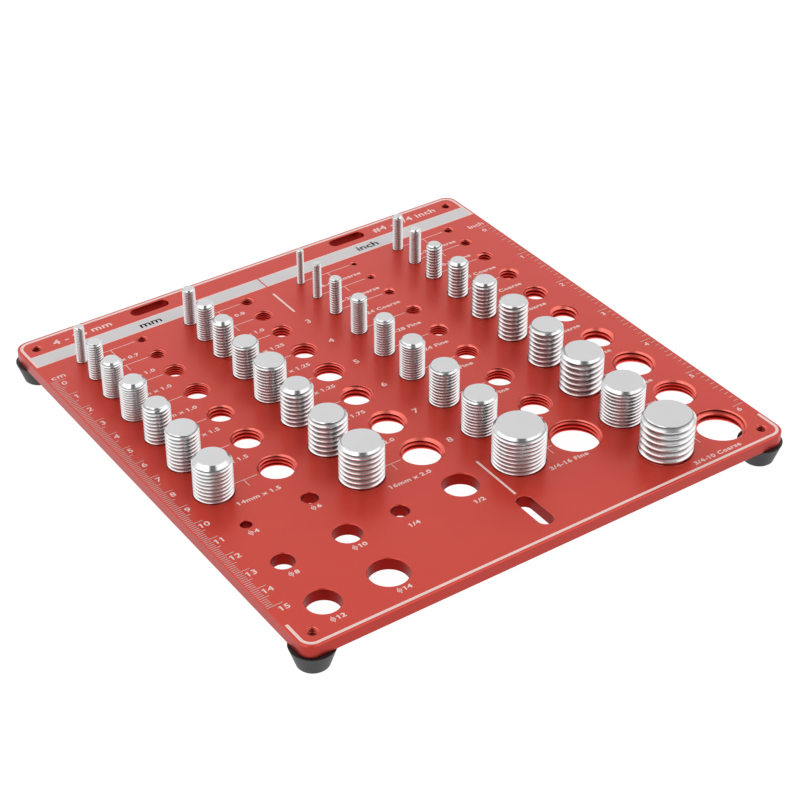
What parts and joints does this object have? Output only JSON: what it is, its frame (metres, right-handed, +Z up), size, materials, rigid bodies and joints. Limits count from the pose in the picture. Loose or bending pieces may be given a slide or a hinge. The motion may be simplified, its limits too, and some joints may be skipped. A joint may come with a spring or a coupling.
{
  "type": "thread checker",
  "caption": "Flat bench gauge plate with threaded studs beside tapped holes, plain sizing holes, rulers along its sides, hanging slots and rubber feet.",
  "frame": {"origin": "on the ground, under the middle of the plate and of its four feet", "axes": "+Z up, out of the plate's face; +X along the header from the metric side to the inch side; +Y towards the header"},
  "size_m": [0.2035, 0.2064, 0.028],
  "materials": {
    "plate": "satin red anodised",
    "stud": "bright turned and threaded, satin end faces",
    "foot": "matt moulded",
    "fastener": "zinc plated",
    "marking": "laser etched pale marking"
  },
  "bodies": {
    "root": {"plate": "plate", "stud_m4x0_7": "stud", "stud_m6x1_0": "stud", "stud_m8x1_0": "stud", "stud_m10x1_0": "stud", "stud_m10x1_5": "stud", "stud_m12x1_5": "stud", "stud_m14x1_5": "stud", "stud_m5x0_8": "stud", "stud_m7x1_0": "stud", "stud_m8x1_25": "stud", "stud_m10x1_25": "stud", "stud_m12x1_25": "stud", "stud_m12x1_75": "stud", "stud_m14x2_0": "stud", "stud_m16x2_0": "stud", "stud_no4_40": "stud", "stud_no6_32": "stud", "stud_no10_24": "stud", "stud_1_4in_28": "stud", "stud_5_16in_24": "stud", "stud_3_8in_24": "stud", "stud_7_16in_20": "stud", "stud_1_2in_20": "stud", "stud_3_4in_16": "stud", "stud_no8_32": "stud", "stud_no10_32": "stud", "stud_1_4in_20": "stud", "stud_5_16in_18": "stud", "stud_3_8in_16": "stud", "stud_7_16in_14": "stud", "stud_1_2in_13": "stud", "stud_5_8in_11": "stud", "stud_5_8in_18": "stud", "stud_3_4in_10": "stud", "foot_front_left": "foot", "foot_back_left": "foot", "foot_front_right": "foot", "foot_back_right": "foot", "foot_washers": "fastener", "foot_screws": "fastener"}
  },
  "joints": []
}
